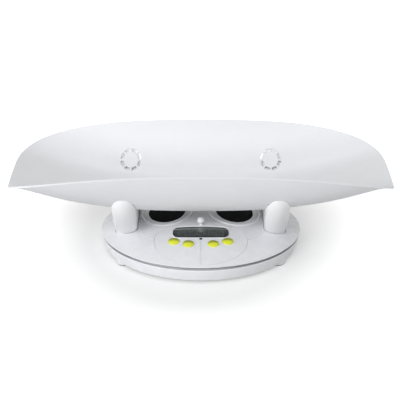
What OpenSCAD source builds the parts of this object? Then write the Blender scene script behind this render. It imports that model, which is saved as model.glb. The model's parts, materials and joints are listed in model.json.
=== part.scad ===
// Digital baby weighing scale: a long cradle tray on two saddle supports, which plug
// into a round domed platform with foot mats, a display and four push buttons. The
// platform sits on a load cell over a round lower base. All lengths are millimetres.
// X runs along the tray, the display faces -Y, Z is up and the feet stand on Z = 0.

/* [Tray] */
// Length of the tray from tip to tip
tray_length = 600; // [580:1:620]
// Depth of the tray between its rims, front to back, across the middle
tray_depth = 272; // [262:1:282]
// Depth of the tray at its straight ends
tray_end_depth = 176; // [160:1:190]
// Height of the rim over the floor of the trough at the middle
trough_height = 80; // [72:1:90]
// How much lower the rim is at the tips than at the middle
rim_drop = 32; // [26:1:38]
// Wall thickness of the tray
tray_wall = 3; // [2.5:0.1:4]
// Free height between the top of the platform and the underside of the tray
under_tray_gap = 29.4; // [27:0.2:34]
// How far each ring of slots sits inward of its support, along the tray
ring_inset = 1.5; // [0:0.5:4]
// Distance of each ring of slots from the middle of the tray, across it
ring_y = 102.5; // [100:0.5:104]
// Outer radius of a ring of slots
ring_r = 16.2; // [14:0.2:16.6]
// Width of the slots
slot_width = 5; // [3:0.5:6]
// Number of slots in a ring
slot_count = 8; // [6:1:10]
// Width of the ribs between the slots
slot_rib = 3; // [2:0.5:4]

/* [Supports] */
// Distance of each saddle support from the edge of the platform
support_inset = 42.8; // [41:0.1:46]
// Width of a saddle at its foot
support_foot_width = 34.8; // [33:0.2:36]
// Width of a saddle at its top
support_top_width = 43; // [41:0.2:45]
// Front to back length of the foot
support_foot_length = 102.4; // [98:0.4:106]
// Front to back span of a saddle where it meets the tray walls
support_span = 238; // [232:1:240]
// Height of a saddle's upright horns, over which it stops flaring
horn_height = 14; // [10:0.5:18]
// Wall thickness of a saddle
support_wall = 2.6; // [2:0.1:3.5]
// Depth of the socket floor below the top of the platform
socket_depth = 28.6; // [27:0.2:30]
// Clearance between a foot and its socket
socket_gap = 0.8; // [0.4:0.1:1.2]
// Distance of the fixing screws from the middle of a saddle
support_screw_y = 22; // [18:1:26]

/* [Platform] */
// Radius of the platform cover
cover_r = 162.3; // [160:0.1:164]
// Height of the dome over its rim
dome_rise = 25.6; // [24:0.2:27]
// Thickness of the cover at its rim
rim_t = 0.8; // [0.5:0.1:1.5]
// Wall thickness of the cover
cover_wall = 3; // [2.5:0.1:3.5]
// Distance of a foot mat from the raised oval round it
mat_border = 14; // [12:0.5:17]
// Half length of a foot mat
mat_half_y = 44; // [40:0.5:46]
// Distance of the foot mats behind the middle
mat_y = 10.7; // [9:0.1:12]
// Thickness of a foot mat
mat_t = 1.8; // [1.4:0.1:2.2]
// Distance of a raised oval from the socket beside it
oval_margin = 2.3; // [1.8:0.1:4]
// Distance between the two raised ovals
oval_spacing = 22; // [18:1:28]
// Half length of the raised oval round a mat
oval_half_y = 56; // [53:0.5:58]
// Height of the raised ovals
ridge_h = 0.9; // [0.5:0.1:1.4]
// Distance of the style line on the dome from the edge of the platform
style_inset = 48.3; // [46:0.1:50]

/* [Control panel] */
// Distance of the widest point of the panel in front of the middle
panel_y = 90; // [89:0.2:91]
// Half width of the panel
panel_half_x = 73.3; // [71:0.1:75]
// Width of the strip of panel behind the window
panel_strip = 2.2; // [1.8:0.1:2.5]
// Distance of the front of the panel from the edge of the platform
panel_margin = 5.3; // [4:0.1:8]
// Length of the display window
window_length = 88.4; // [80:0.2:92]
// Height of the display window, front to back
window_depth = 30; // [26:0.2:31]
// Distance of the window in front of the middle
window_y = 71.6; // [71:0.1:72.4]
// Width of the raised lip round the window
lip_width = 1.9; // [1.4:0.1:2]
// Height of the lip over the dome
lip_h = 1.1; // [0.6:0.1:1.6]
// Radius of a push button
button_r = 8.7; // [7.5:0.1:8.8]
// Travel of a push button
button_travel = 1; // [0.6:0.1:1.2]
// Sideways distance of the inner buttons
inner_button_x = 19.4; // [19:0.1:20.5]
// Distance of the inner buttons in front of the middle
inner_button_y = 105.4; // [104:0.1:107]
// Sideways distance of the outer buttons
outer_button_x = 42.2; // [42:0.1:44]
// Distance of the outer buttons in front of the middle
outer_button_y = 97; // [96.8:0.1:98]
// Width of the circuit board
board_width = 112; // [108:1:116]
// Thickness of the circuit board
board_t = 1.6; // [1.2:0.1:2]

/* [Tape] */
// Diameter of the pull ball
ball_d = 11; // [9:0.2:12]
// Distance of the ball in front of the middle
ball_y = 50.4; // [50:0.1:51]
// Height of the ball's middle over the dome
ball_lift = 7.2; // [6.6:0.1:8]
// Width of the tape
tape_width = 4.4; // [4:0.1:4.6]
// Thickness of the tape
tape_t = 0.5; // [0.3:0.05:0.8]
// Radius of the wound tape
reel_r = 12; // [10:0.2:12.5]

/* [Lower base] */
// Height of the gap between cover and base over the ground
gap_z = 24.9; // [24:0.1:26]
// Height of that gap
gap_h = 4.3; // [3.5:0.1:5.5]
// How far the base is set in from the edge of the platform cover
base_inset = 1; // [0.5:0.1:3]
// How much narrower the base is at its lower edge than under the gap
base_taper = 5.3; // [3:0.1:8]
// Height of the lower edge over the ground
base_edge_z = 5; // [4:0.2:6]
// Height of the base floor over the ground
floor_z = 8; // [7.4:0.1:8.4]
// Thickness of the base floor
floor_t = 2.5; // [2:0.1:3]
// Distance of the middle of a foot from the edge of the base
foot_inset = 11.9; // [11:0.1:16]
// Angle of the feet in front of and behind the tray's direction
foot_angle = 33.25; // [30:0.25:40]
// Radius of a foot lug
lug_r = 14.5; // [13:0.5:15]
// Radius of a rubber foot
foot_r = 12; // [10:0.5:12.5]
// Height of a rubber foot
foot_h = 3; // [2.4:0.1:3.6]

/* [Load cell] */
// Length of the load cell
cell_length = 130; // [124:1:136]
// Width of the load cell
cell_width = 30; // [28:1:32]
// Height of the load cell
cell_height = 22; // [21:0.1:22.6]
// Thickness of the spacers over and under the load cell
spacer_t = 2.5; // [2:0.1:2.8]
// Thickness of the steel load frame
frame_t = 2.5; // [2:0.1:2.8]
// Sideways distance of the frame's screws
frame_screw_x = 58; // [56:1:62]
// Distance of the frame's screws before and behind the middle
frame_screw_y = 34; // [30:1:38]

/* [Battery] */
// Distance of the battery box behind the middle
battery_y = 86; // [84:1:88]
// Length of a battery cell
battery_length = 50.5; // [50:0.1:51]
// Diameter of a battery cell
battery_d = 14.2; // [13.8:0.1:14.5]
// Number of battery cells
battery_count = 4; // [2:1:4]

/* [Hidden] */
$fn = 96;

shell_white = [0.92, 0.92, 0.93];
key_green = [0.80, 0.83, 0.22];
rubber_black = [0.07, 0.07, 0.07];
steel = [0.72, 0.73, 0.75];

// Curved pieces that only meet keep this distance; a pin or screw keeps fit_gap.
seat_gap = 0.3;
fit_gap = 0.05;
eps = 0.01;

// ---- Places that follow the edge of the platform ----
support_x = cover_r - support_inset;
ring_x = support_x - ring_inset;
panel_front = cover_r - panel_margin - panel_y;
style_r = cover_r - style_inset;
oval_edge = support_x - support_foot_width / 2 - socket_gap - oval_margin;
oval_half_x = (oval_edge - oval_spacing / 2) / 2;
mat_x = oval_edge - oval_half_x;
mat_half_x = oval_half_x - mat_border;
base_top_r = cover_r - base_inset;
base_foot_r = base_top_r - base_taper;
foot_x = (base_foot_r - foot_inset) * cos(foot_angle);
foot_y = (base_foot_r - foot_inset) * sin(foot_angle);

// ---- Dome ----
rim_z = gap_z + gap_h;
dome_top = rim_z + rim_t + dome_rise;
dome_steps = 26;
// Height of the outer surface of the dome at a distance from its axis.
function dome_z(r) = dome_top - dome_rise * pow(r / cover_r, 2);

// Everything under the dome surface moved by off, out to radius r and down to z0.
module under_dome(off, r, z0) {
    rotate_extrude()
        polygon(concat(
            [[0, z0]],
            [for (i = [0 : dome_steps]) [r * i / dome_steps, dome_z(r * i / dome_steps) + off]],
            [[r, z0]]));
}

// The layer of the dome between two offsets, cut to the plan outline of its children.
module dome_layer(low, high) {
    intersection() {
        difference() {
            under_dome(high, cover_r, -20);
            under_dome(low, cover_r + 1, -30);
        }
        translate([0, 0, -10]) linear_extrude(dome_top + 40) children();
    }
}

// ---- Plan outlines ----
function oval(a, b, steps = 72) =
    [for (i = [0 : steps - 1]) [a * cos(360 * i / steps), b * sin(360 * i / steps)]];

module mat_outline(side, a, b) {
    translate([side * mat_x, mat_y]) polygon(oval(a, b));
}

panel_square = 2 / 3;
panel_back = panel_y - window_y + window_depth / 2 + lip_width + panel_strip;
function signed_pow(v, p) = sign(v) * pow(abs(v), p);
// The panel is a half ellipse in front and a squarer curve behind the window.
function panel_points(grow, steps = 36) = concat(
    [for (i = [0 : steps]) let (a = 180 * i / steps)
        [(panel_half_x + grow) * signed_pow(cos(a), panel_square),
         (panel_back + grow) * pow(sin(a), panel_square) - panel_y]],
    [for (i = [1 : steps - 1]) let (a = 180 + 180 * i / steps)
        [(panel_half_x + grow) * cos(a), (panel_front + grow) * sin(a) - panel_y]]);

module panel_outline(grow) {
    polygon(panel_points(grow));
}

// Window outline: straight long sides, with full ends that curve in.
window_corner = [9, 13];
module window_outline(grow, steps = 14) {
    half = [window_length / 2 - window_corner[0], window_depth / 2 - window_corner[1]];
    r = [window_corner[0] + grow, window_corner[1] + grow];
    translate([0, -window_y])
        polygon([for (q = [0 : 3], i = [0 : steps])
            let (a = 90 * q + 90 * i / steps,
                 sx = q == 0 || q == 3 ? 1 : -1,
                 sy = q < 2 ? 1 : -1)
            [sx * half[0] + r[0] * cos(a), sy * half[1] + r[1] * sin(a)]]);
}

module stadium(r, half) {
    square([2 * r, 2 * half], center = true);
    for (s = [-1, 1]) translate([0, s * half]) circle(r);
}

// ---- Tray surface ----
tray_floor_z = dome_top + under_tray_gap + tray_wall;
tray_rim_z = tray_floor_z + trough_height;
half_length = tray_length / 2;
end_bulge = 2;
plan_power = 5.1;
rise_power = 2.6;
section_power = 5;

function half_depth(u) = (tray_depth - (tray_depth - tray_end_depth) * pow(abs(u), plan_power)) / 2;
function rim_height(u) = tray_rim_z - rim_drop * pow(abs(u), rise_power);
function trough_depth(u) = trough_height * (1 - pow(abs(u), rise_power));
// Inner surface: u runs from tip to tip and t from rim to rim, both from -1 to 1.
function tray_point(u, t) = [
    (half_length - end_bulge) * u + end_bulge * signed_pow(u, plan_power) * (1 - t * t),
    t * half_depth(u),
    rim_height(u) - trough_depth(u) * (1 - pow(abs(t), section_power))];
function tray_slope(u, t, e = 0.004) =
    cross(tray_point(u + e, t) - tray_point(u - e, t), tray_point(u, t + e) - tray_point(u, t - e));
function tray_normal(u, t) = tray_slope(u, t) / norm(tray_slope(u, t));
// A point below the inner surface by depth, along the surface normal.
function tray_below(u, t, depth) = tray_point(u, t) - depth * tray_normal(u, t);
// Height of the inner surface over a place on the plan.
function tray_z(x, y) =
    rim_height(x / half_length) - trough_depth(x / half_length)
        * (1 - pow(abs(y) / half_depth(x / half_length), section_power));

// Height of the underside over a place on the plan, from the slope of the wall there.
function tray_under_z(x, y) =
    let (slope = tray_z(x, y - tray_wall + 0.5) - tray_z(x, y - tray_wall - 0.5),
         lean = 1 / sqrt(1 + slope * slope))
    tray_z(x, y - tray_wall * slope * lean) - tray_wall * lean;

grid_x = 44;
grid_y = 30;
function grid_u(i) = sin(90 * (2 * i / grid_x - 1));
function grid_t(j) = sin(90 * (2 * j / grid_y - 1));
function grid_index(u) = grid_x * (asin(u) / 90 + 1) / 2;

// Faces of a slab between an upper and a lower grid of (rows + 1) x (cols + 1) points.
function slab_faces(rows, cols) =
    let (w = cols + 1, low = (rows + 1) * w)
    concat(
        [for (i = [0 : rows - 1], j = [0 : cols - 1], k = [0, 1]) let (a = i * w + j)
            k == 0 ? [a, a + 1, a + w + 1] : [a, a + w + 1, a + w]],
        [for (i = [0 : rows - 1], j = [0 : cols - 1], k = [0, 1]) let (a = low + i * w + j)
            k == 0 ? [a, a + w + 1, a + 1] : [a, a + w, a + w + 1]],
        [for (i = [0 : rows - 1], k = [0, 1]) let (a = i * w)
            k == 0 ? [a, a + w, low + a + w] : [a, low + a + w, low + a]],
        [for (i = [0 : rows - 1], k = [0, 1]) let (a = i * w + cols)
            k == 0 ? [a, low + a + w, a + w] : [a, low + a, low + a + w]],
        [for (j = [0 : cols - 1], k = [0, 1]) let (a = j)
            k == 0 ? [a, low + a + 1, a + 1] : [a, low + a, low + a + 1]],
        [for (j = [0 : cols - 1], k = [0, 1]) let (a = rows * w + j)
            k == 0 ? [a, a + 1, low + a + 1] : [a, low + a + 1, low + a]]);

module tray_shell() {
    points = concat(
        [for (i = [0 : grid_x], j = [0 : grid_y]) tray_point(grid_u(i), grid_t(j))],
        [for (i = [0 : grid_x], j = [0 : grid_y]) tray_below(grid_u(i), grid_t(j), tray_wall)]);
    polyhedron(points, slab_faces(grid_x, grid_y), convexity = 6);
}

// The room over the tray's underside near one support, lowered by gap.
module over_tray(side, gap) {
    reach = support_top_width / 2 + 8;
    i0 = floor(grid_index((support_x - reach) / half_length));
    i1 = ceil(grid_index((support_x + reach) / half_length));
    rows = i1 - i0;
    lid = tray_rim_z + 20;
    low = [for (i = [0 : rows], j = [0 : grid_y])
        tray_below(grid_u(i0 + i), grid_t(j), tray_wall + gap)];
    high = [for (p = low) [p[0], p[1], lid]];
    mirror([side < 0 ? 1 : 0, 0, 0])
        polyhedron(concat(high, low), slab_faces(rows, grid_y), convexity = 6);
}

// Slots, cut along one slanted direction so that the ring looks round from the front.
slot_tilt = 30;
module slot_ring(side, back) {
    slot_angle = 360 / slot_count;
    translate([side * ring_x, back * ring_y, tray_z(ring_x, ring_y)])
        mirror([0, back < 0 ? 1 : 0, 0])
            rotate([90 - slot_tilt, 0, 0])
                difference() {
                    cylinder(r = ring_r, h = 26, center = true, $fn = 48);
                    cylinder(r = ring_r - slot_width, h = 28, center = true, $fn = 48);
                    for (k = [0 : slot_count - 1])
                        rotate(90 + k * slot_angle)
                            translate([0, -slot_rib / 2, -14])
                                cube([ring_r + 2, slot_rib, 28]);
                }
}

// ---- Supports ----
socket_z = dome_top - socket_depth;
foot_r0 = support_foot_width / 2;
foot_half = support_foot_length / 2 - foot_r0;
top_r = support_top_width / 2;
span_half = support_span / 2 - top_r;
flare_z = dome_z(norm([support_x, support_foot_length / 2])) - 0.8;
// The tip of a saddle ends where the tray wall comes within horn_lip of it.
horn_lip = 1.4;
span_z = tray_under_z(support_x, support_span / 2 - horn_lip);
screw_boss_r = 5.5;
screw_r = 2;
screw_seat = 6;
boss_drop = 9;
boss_z = tray_z(support_x, support_screw_y) - tray_wall - boss_drop;

// A saddle's outside, from z0 up: straight at its foot, then flared out to the tray walls.
module saddle_body(inset, z0) {
    translate([0, 0, z0]) linear_extrude(flare_z - z0) stadium(foot_r0 - inset, foot_half);
    hull() {
        translate([0, 0, flare_z - eps])
            linear_extrude(eps) stadium(foot_r0 - inset, foot_half, $fn = 32);
        translate([0, 0, span_z - horn_height])
            linear_extrude(eps) stadium(top_r - inset - 0.5, span_half - 1, $fn = 32);
        translate([0, 0, span_z])
            linear_extrude(eps) stadium(top_r - inset, span_half, $fn = 32);
    }
}

module support(side) {
    difference() {
        translate([side * support_x, 0, 0])
            difference() {
                union() {
                    difference() {
                        saddle_body(0, socket_z + seat_gap);
                        saddle_body(support_wall, socket_z + seat_gap + support_wall);
                        // Open top of the hollow
                        translate([0, 0, span_z - eps])
                            linear_extrude(4) stadium(top_r - support_wall, span_half);
                    }
                    for (s = [-1, 1])
                        translate([0, s * support_screw_y, socket_z + seat_gap])
                            cylinder(r = screw_boss_r, h = boss_z - socket_z - 2 * seat_gap);
                }
                for (s = [-1, 1])
                    translate([0, s * support_screw_y, socket_z]) {
                        cylinder(r = screw_r + fit_gap, h = boss_z - socket_z + 1);
                        cylinder(r = 2 * screw_r + 0.3, h = screw_seat);
                    }
            }
        over_tray(side, seat_gap);
    }
}

module tray() {
    color(shell_white)
        difference() {
            union() {
                tray_shell();
                for (side = [-1, 1], s = [-1, 1])
                    translate([side * support_x, s * support_screw_y, boss_z])
                        cylinder(r = screw_boss_r, h = boss_drop + tray_wall / 2, $fn = 32);
            }
            for (side = [-1, 1], back = [-1, 1]) slot_ring(side, back);
            for (side = [-1, 1], s = [-1, 1])
                translate([side * support_x, s * support_screw_y, boss_z - 1])
                    cylinder(r = screw_r + fit_gap, h = boss_drop, $fn = 32);
        }
}

module left_support() {
    color(shell_white) support(-1);
}

module right_support() {
    color(shell_white) support(1);
}

module support_screws() {
    color(steel)
        for (side = [-1, 1], s = [-1, 1])
            translate([side * support_x, s * support_screw_y, 0]) {
                translate([0, 0, socket_z + screw_seat - 2])
                    cylinder(r = 2 * screw_r, h = 2);
                translate([0, 0, socket_z + screw_seat - 1])
                    cylinder(r = screw_r, h = boss_z + boss_drop - 3 - socket_z - screw_seat);
            }
}

// ---- Platform ----
// Everything under the cover's outside, with a rounded rim edge.
module cover_body() {
    edge = cover_r - rim_t;
    rotate_extrude()
        polygon(concat(
            [[0, rim_z]],
            [for (i = [0 : dome_steps]) [edge * i / dome_steps, dome_z(edge * i / dome_steps)]],
            [for (a = [70 : -20 : 10]) [edge + rim_t * cos(a), rim_z + (dome_z(edge) - rim_z) * sin(a)]],
            [[cover_r, rim_z]]));
}

ledge_width = 3.5;
// Where the display and the tape hang, so that the panel's ledge stops there
module works_outline() {
    translate([-lcd_length / 2 - 6, -window_y]) square([lcd_length + 12, window_depth + 9]);
}

mat_sink = 1.2;
cell_boss_h = 2.5;
cell_lift = cell_boss_h + spacer_t;
frame_top = floor_z + floor_t + cell_lift + cell_height + spacer_t + frame_t;
boss_r = 5;
frame_screw_r = 1.5;
tape_slot_gap = 0.5;

module frame_screw_places() {
    for (sx = [-1, 1], sy = [-1, 1]) translate([sx * frame_screw_x, sy * frame_screw_y, 0]) children();
}

module platform_cover() {
    color(shell_white)
        difference() {
            union() {
                difference() {
                    cover_body();
                    under_dome(-cover_wall, cover_r - cover_wall, 0);
                }
                // Walls and floors of the two sockets
                intersection() {
                    for (side = [-1, 1])
                        translate([side * support_x, 0, socket_z - cover_wall])
                            linear_extrude(40) stadium(foot_r0 + socket_gap + support_wall, foot_half);
                    under_dome(-eps, cover_r - 1, 0);
                }
                // Ledge under the control panel
                intersection() {
                    dome_layer(-2 * cover_wall, -cover_wall + eps)
                        difference() {
                            panel_outline(1);
                            works_outline();
                        }
                    translate([0, 0, rim_z]) cylinder(r = cover_r - cover_wall, h = dome_top);
                }
                // Screw bosses that stand on the load frame
                intersection() {
                    frame_screw_places() translate([0, 0, frame_top]) cylinder(r = boss_r, h = 30);
                    under_dome(-1.5, cover_r - 5, 0);
                }
                for (side = [-1, 1])
                    dome_layer(-1, ridge_h)
                        difference() {
                            mat_outline(side, oval_half_x, oval_half_y);
                            mat_outline(side, oval_half_x - 2.5, oval_half_y - 2.5);
                        }
            }
            // Sockets, flared like the saddles so that these lift straight out
            for (side = [-1, 1])
                translate([side * support_x, 0, 0]) saddle_body(-socket_gap, socket_z);
            dome_layer(-cover_wall, 3) panel_outline(seat_gap);
            translate([0, 0, -1]) linear_extrude(2 * dome_top) panel_outline(-ledge_width);
            translate([0, 0, -1])
                linear_extrude(2 * dome_top)
                    intersection() {
                        panel_outline(seat_gap);
                        works_outline();
                    }
            for (side = [-1, 1])
                dome_layer(-mat_sink, 3) mat_outline(side, mat_half_x + 0.2, mat_half_y + 0.2);
            // Style line on the dome
            dome_layer(-0.4, 3)
                difference() {
                    circle(style_r + 0.4);
                    circle(style_r - 0.4);
                    translate([-cover_r, -8]) square([2 * cover_r, 2 * cover_r]);
                    panel_outline(seat_gap + 1);
                }
            translate([-tape_width / 2 - tape_slot_gap, -ball_y - tape_t / 2 - tape_slot_gap, 20])
                cube([tape_width + 2 * tape_slot_gap, tape_t + 2 * tape_slot_gap, 60]);
            frame_screw_places()
                translate([0, 0, frame_top - 1]) cylinder(r = frame_screw_r + fit_gap, h = 2 + frame_bite);
        }
}

module foot_mat(side) {
    color(rubber_black)
        dome_layer(-mat_sink + fit_gap, mat_t - mat_sink) mat_outline(side, mat_half_x, mat_half_y);
}

module left_foot_mat() {
    foot_mat(-1);
}

module right_foot_mat() {
    foot_mat(1);
}

// ---- Control panel ----
// The panel's works share one plane, square to the dome at key_y.
key_y = 88;
key_tilt = asin(2 * dome_rise * key_y / pow(cover_r, 2));
module key_plane() {
    translate([0, -key_y, dome_z(key_y)]) rotate([key_tilt, 0, 0]) children();
}
// Where a plan distance in front of the middle lies on that plane.
function key_local(y) = (key_y - y) / cos(key_tilt);
// How far the dome lies under that plane.
function key_sag(x, y) = -(x * x + y * y) * dome_rise / pow(cover_r, 2);

board_top = -13.5;
switch_h = 3.5;
switch_top = board_top + switch_h;
plunger_h = 1.3;
cap_proud = 0.9;
flange_t = 1.2;
stem_r = 2.6;
flange_r = button_r + 1.1;
flange_slope = 0.2;
// Under the panel wall, with room for the dome's curve over the flange's width
flange_drop = cover_wall + seat_gap - flange_slope
    - key_sag(outer_button_x + flange_r, 0) + key_sag(outer_button_x, 0);
buttons = [
    [-outer_button_x, outer_button_y],
    [-inner_button_x, inner_button_y],
    [inner_button_x, inner_button_y],
    [outer_button_x, outer_button_y]];

module at_button(k) {
    b = buttons[k];
    key_plane() translate([b[0], key_local(b[1]), 0]) children();
}
function button_sag(k) = key_sag(buttons[k][0], key_local(buttons[k][1]));

board_screw_x = board_width / 2 - 5;
board_back = 26;
board_front = -31;
board_screw_y = [board_front + 5, board_back - 6];
board_screw_r = 1.1;
module board_screw_places() {
    for (sx = [-1, 1], y = board_screw_y) key_plane() translate([sx * board_screw_x, y, 0]) children();
}

mark_size = 4.4;
mark_y = window_y + window_depth / 2 + 3.2 + mark_size / 2;

module mark_outline(grow) {
    translate([0, -mark_y]) square([mark_size + 2 * grow, mark_size + 2 * grow], center = true);
}

module control_panel() {
    color(shell_white)
        difference() {
            union() {
                dome_layer(-cover_wall + fit_gap, 0) panel_outline(0);
                intersection() {
                    board_screw_places() translate([0, 0, board_top]) cylinder(r = 3, h = 20);
                    under_dome(-1, cover_r - 5, 0);
                }
            }
            translate([0, 0, 20]) linear_extrude(60) window_outline(lip_width + fit_gap);
            for (k = [0 : 3]) at_button(k) cylinder(r = button_r + seat_gap, h = 30, center = true);
            board_screw_places()
                translate([0, 0, board_top - 1]) cylinder(r = board_screw_r + fit_gap, h = 7);
            dome_layer(-1.5, 3) mark_outline(fit_gap);
            // Centre groove from the mark to the front
            dome_layer(-0.5, 3)
                translate([-0.6, -panel_y - panel_front + 1])
                    square([1.2, panel_y + panel_front - 1 - mark_y - mark_size / 2 - fit_gap]);
        }
}

module display_bezel() {
    color(shell_white) {
        dome_layer(-cover_wall, lip_h)
            difference() {
                window_outline(lip_width);
                window_outline(fit_gap);
            }
        // Inner step that carries the lens
        dome_layer(-cover_wall - 1.4, -cover_wall + eps)
            difference() {
                window_outline(0.6);
                window_outline(-1.6);
            }
    }
}

module display_lens() {
    color([0.22, 0.24, 0.23]) dome_layer(-cover_wall + fit_gap, -0.5) window_outline(0);
}

module indicator_lens() {
    color([0.10, 0.10, 0.10]) dome_layer(-1.5 + fit_gap, 0.2) mark_outline(0);
}

module button(k) {
    sag = button_sag(k);
    stem_low = switch_top + plunger_h;
    color(key_green)
        at_button(k) {
            // Cap with a rounded edge and a dished top
            rotate_extrude()
                polygon([
                    [0, sag - flange_drop - flange_t], [flange_r, sag - flange_drop - flange_t],
                    [flange_r, sag - flange_drop - flange_slope], [button_r, sag - flange_drop],
                    [button_r, sag + cap_proud - 1], [button_r - 0.3, sag + cap_proud - 0.4],
                    [button_r - 1.1, sag + cap_proud], [button_r - 2.2, sag + cap_proud - 0.1],
                    [button_r - 4.5, sag + cap_proud - 0.7], [0, sag + cap_proud - 1]]);
            translate([0, 0, stem_low])
                cylinder(r = stem_r, h = sag - flange_drop - flange_t / 2 - stem_low);
        }
}

module plunger(k) {
    color(rubber_black)
        at_button(k) translate([0, 0, switch_top - 1]) cylinder(r = 1.6, h = plunger_h + 1);
}

module button_outer_left() {
    button(0);
}

module button_inner_left() {
    button(1);
}

module button_inner_right() {
    button(2);
}

module button_outer_right() {
    button(3);
}

module plunger_outer_left() {
    plunger(0);
}

module plunger_inner_left() {
    plunger(1);
}

module plunger_inner_right() {
    plunger(2);
}

module plunger_outer_right() {
    plunger(3);
}

module tact_switches() {
    color([0.25, 0.25, 0.27])
        for (k = [0 : 3])
            at_button(k)
                difference() {
                    translate([-3, -3, board_top]) cube([6, 6, switch_h]);
                    translate([0, 0, switch_top - 1 - button_travel - 0.2])
                        cylinder(r = 1.6 + fit_gap, h = 4);
                }
}

module circuit_board() {
    color([0.10, 0.35, 0.18])
        difference() {
            key_plane()
                translate([-board_width / 2, board_front, board_top - board_t])
                    cube([board_width, board_back - board_front, board_t]);
            board_screw_places()
                translate([0, 0, board_top - 3]) cylinder(r = board_screw_r + 0.2, h = 5);
        }
}

module board_screws() {
    color(steel)
        board_screw_places() {
            translate([0, 0, board_top - board_t - 1.6]) cylinder(r = 2.3, h = 1.6);
            translate([0, 0, board_top - board_t - 1]) cylinder(r = board_screw_r, h = board_t + 5.5);
        }
}

lcd_length = window_length - 8;
lcd_depth = window_depth - 6;
lcd_t = 2.8;
lcd_top = -7.4;
module lcd_module() {
    color([0.35, 0.40, 0.34])
        key_plane()
            translate([0, key_local(window_y), lcd_top - lcd_t / 2])
                cube([lcd_length, lcd_depth, lcd_t], center = true);
}

module lcd_frame() {
    color([0.85, 0.85, 0.82])
        key_plane()
            translate([0, key_local(window_y), 0])
                difference() {
                    translate([0, 0, (lcd_top + board_top) / 2])
                        cube([lcd_length + 4, lcd_depth + 3, lcd_top - board_top], center = true);
                    translate([0, 0, lcd_top - lcd_t / 2])
                        cube([lcd_length + 2 * fit_gap, lcd_depth + 2 * fit_gap, lcd_t + eps], center = true);
                    translate([0, 0, board_top])
                        cube([lcd_length - 6, lcd_depth - 6, 30], center = true);
                }
}

module buzzer() {
    color([0.12, 0.12, 0.12])
        key_plane()
            translate([0, board_front + 9, board_top])
                difference() {
                    cylinder(r = 5.5, h = 5);
                    translate([0, 0, 3]) cylinder(r = 1.2, h = 3);
                }
}

// ---- Measuring tape ----
ball_z = dome_z(ball_y) + ball_lift;
neck_r = 2.8;
neck_z = dome_z(ball_y + neck_r) + 0.1;
arbor_r = 3;
case_wall = 1.2;
case_gap = 0.4;
reel_y = -ball_y + tape_t / 2 + reel_r + 0.02;
reel_z = dome_z(ball_y) - cover_wall - reel_r - 3.4;
case_half_x = tape_width / 2 + case_gap + case_wall + 1;
case_front = -ball_y - tape_t / 2 - case_gap - case_wall;
case_back = reel_y + reel_r + case_gap + case_wall;
case_low = reel_z - reel_r - case_gap - case_wall;
case_high = dome_z(ball_y) - cover_wall - seat_gap - 0.3;

module pull_ball() {
    color(shell_white)
        difference() {
            union() {
                translate([0, -ball_y, ball_z]) sphere(d = ball_d);
                // Neck that rests over the slot
                translate([0, -ball_y, neck_z + 0.6]) cylinder(r = neck_r, h = ball_z - neck_z - 1);
            }
            translate([-tape_width / 2 - fit_gap, -ball_y - tape_t / 2 - fit_gap, ball_z - ball_d])
                cube([tape_width + 2 * fit_gap, tape_t + 2 * fit_gap, ball_d - 2]);
        }
}

// The tape's free end, from the ball down to the side of the reel.
module tape() {
    color([0.90, 0.88, 0.70])
        translate([-tape_width / 2, -ball_y - tape_t / 2, case_low + case_wall + case_gap])
            cube([tape_width, tape_t, ball_z - 2 - fit_gap - case_low - case_wall - case_gap]);
}

module tape_case() {
    inner_x = tape_width / 2 + case_gap + 1;
    color([0.80, 0.80, 0.80])
        difference() {
            translate([-case_half_x, case_front, case_low])
                cube([2 * case_half_x, case_back - case_front, case_high - case_low]);
            translate([-inner_x, case_front + case_wall, case_low + case_wall])
                cube([2 * inner_x, case_back - case_front - 2 * case_wall,
                      case_high - case_low - 2 * case_wall]);
            translate([-tape_width / 2 - case_gap, case_front + case_wall, case_high - 3])
                cube([tape_width + 2 * case_gap, tape_t + 2 * case_gap, 6]);
            translate([0, reel_y, reel_z]) rotate([0, 90, 0])
                cylinder(r = arbor_r / 2 + fit_gap, h = 40, center = true);
        }
}

module tape_reel() {
    color([0.90, 0.88, 0.70])
        translate([0, reel_y, reel_z]) rotate([0, 90, 0])
            difference() {
                cylinder(r = reel_r, h = tape_width, center = true);
                cylinder(r = arbor_r + fit_gap, h = tape_width + 2, center = true);
            }
}

module tape_arbor() {
    color(steel)
        translate([0, reel_y, reel_z]) rotate([0, 90, 0]) {
            cylinder(r = arbor_r / 2, h = 2 * case_half_x + 1, center = true);
            cylinder(r = arbor_r, h = tape_width + 1.2, center = true);
        }
}

// ---- Load path ----
cell_low = floor_z + floor_t + cell_lift;
cell_top = cell_low + cell_height;
cell_hole_x = [cell_length / 2 - 7.5, cell_length / 2 - 27.5];
cell_screw_r = 3;
cell_head_r = 5;
spacer_length = 36;

module cell_holes(side, z, h, r) {
    for (x = cell_hole_x) translate([side * x, 0, z]) cylinder(r = r, h = h);
}

module load_cell() {
    color([0.80, 0.81, 0.83])
        difference() {
            translate([-cell_length / 2, -cell_width / 2, cell_low])
                cube([cell_length, cell_width, cell_height]);
            for (s = [-1, 1])
                translate([s * 11, 0, cell_low + cell_height / 2]) rotate([90, 0, 0])
                    cylinder(r = 7.5, h = cell_width + 2, center = true);
            translate([-11, -cell_width, cell_low + cell_height / 2 - 1.5]) cube([22, 2 * cell_width, 3]);
            cell_holes(-1, cell_low - 1, 14, cell_screw_r + fit_gap);
            cell_holes(1, cell_top - 13, 14, cell_screw_r + fit_gap);
        }
}

module spacer(side, z) {
    color(steel)
        difference() {
            translate([side > 0 ? cell_length / 2 - spacer_length : -cell_length / 2, -cell_width / 2, z])
                cube([spacer_length, cell_width, spacer_t]);
            cell_holes(side, z - 1, spacer_t + 2, cell_screw_r + fit_gap);
        }
}

module lower_spacer() {
    spacer(-1, cell_low - spacer_t);
}

module upper_spacer() {
    spacer(1, cell_top);
}

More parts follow.
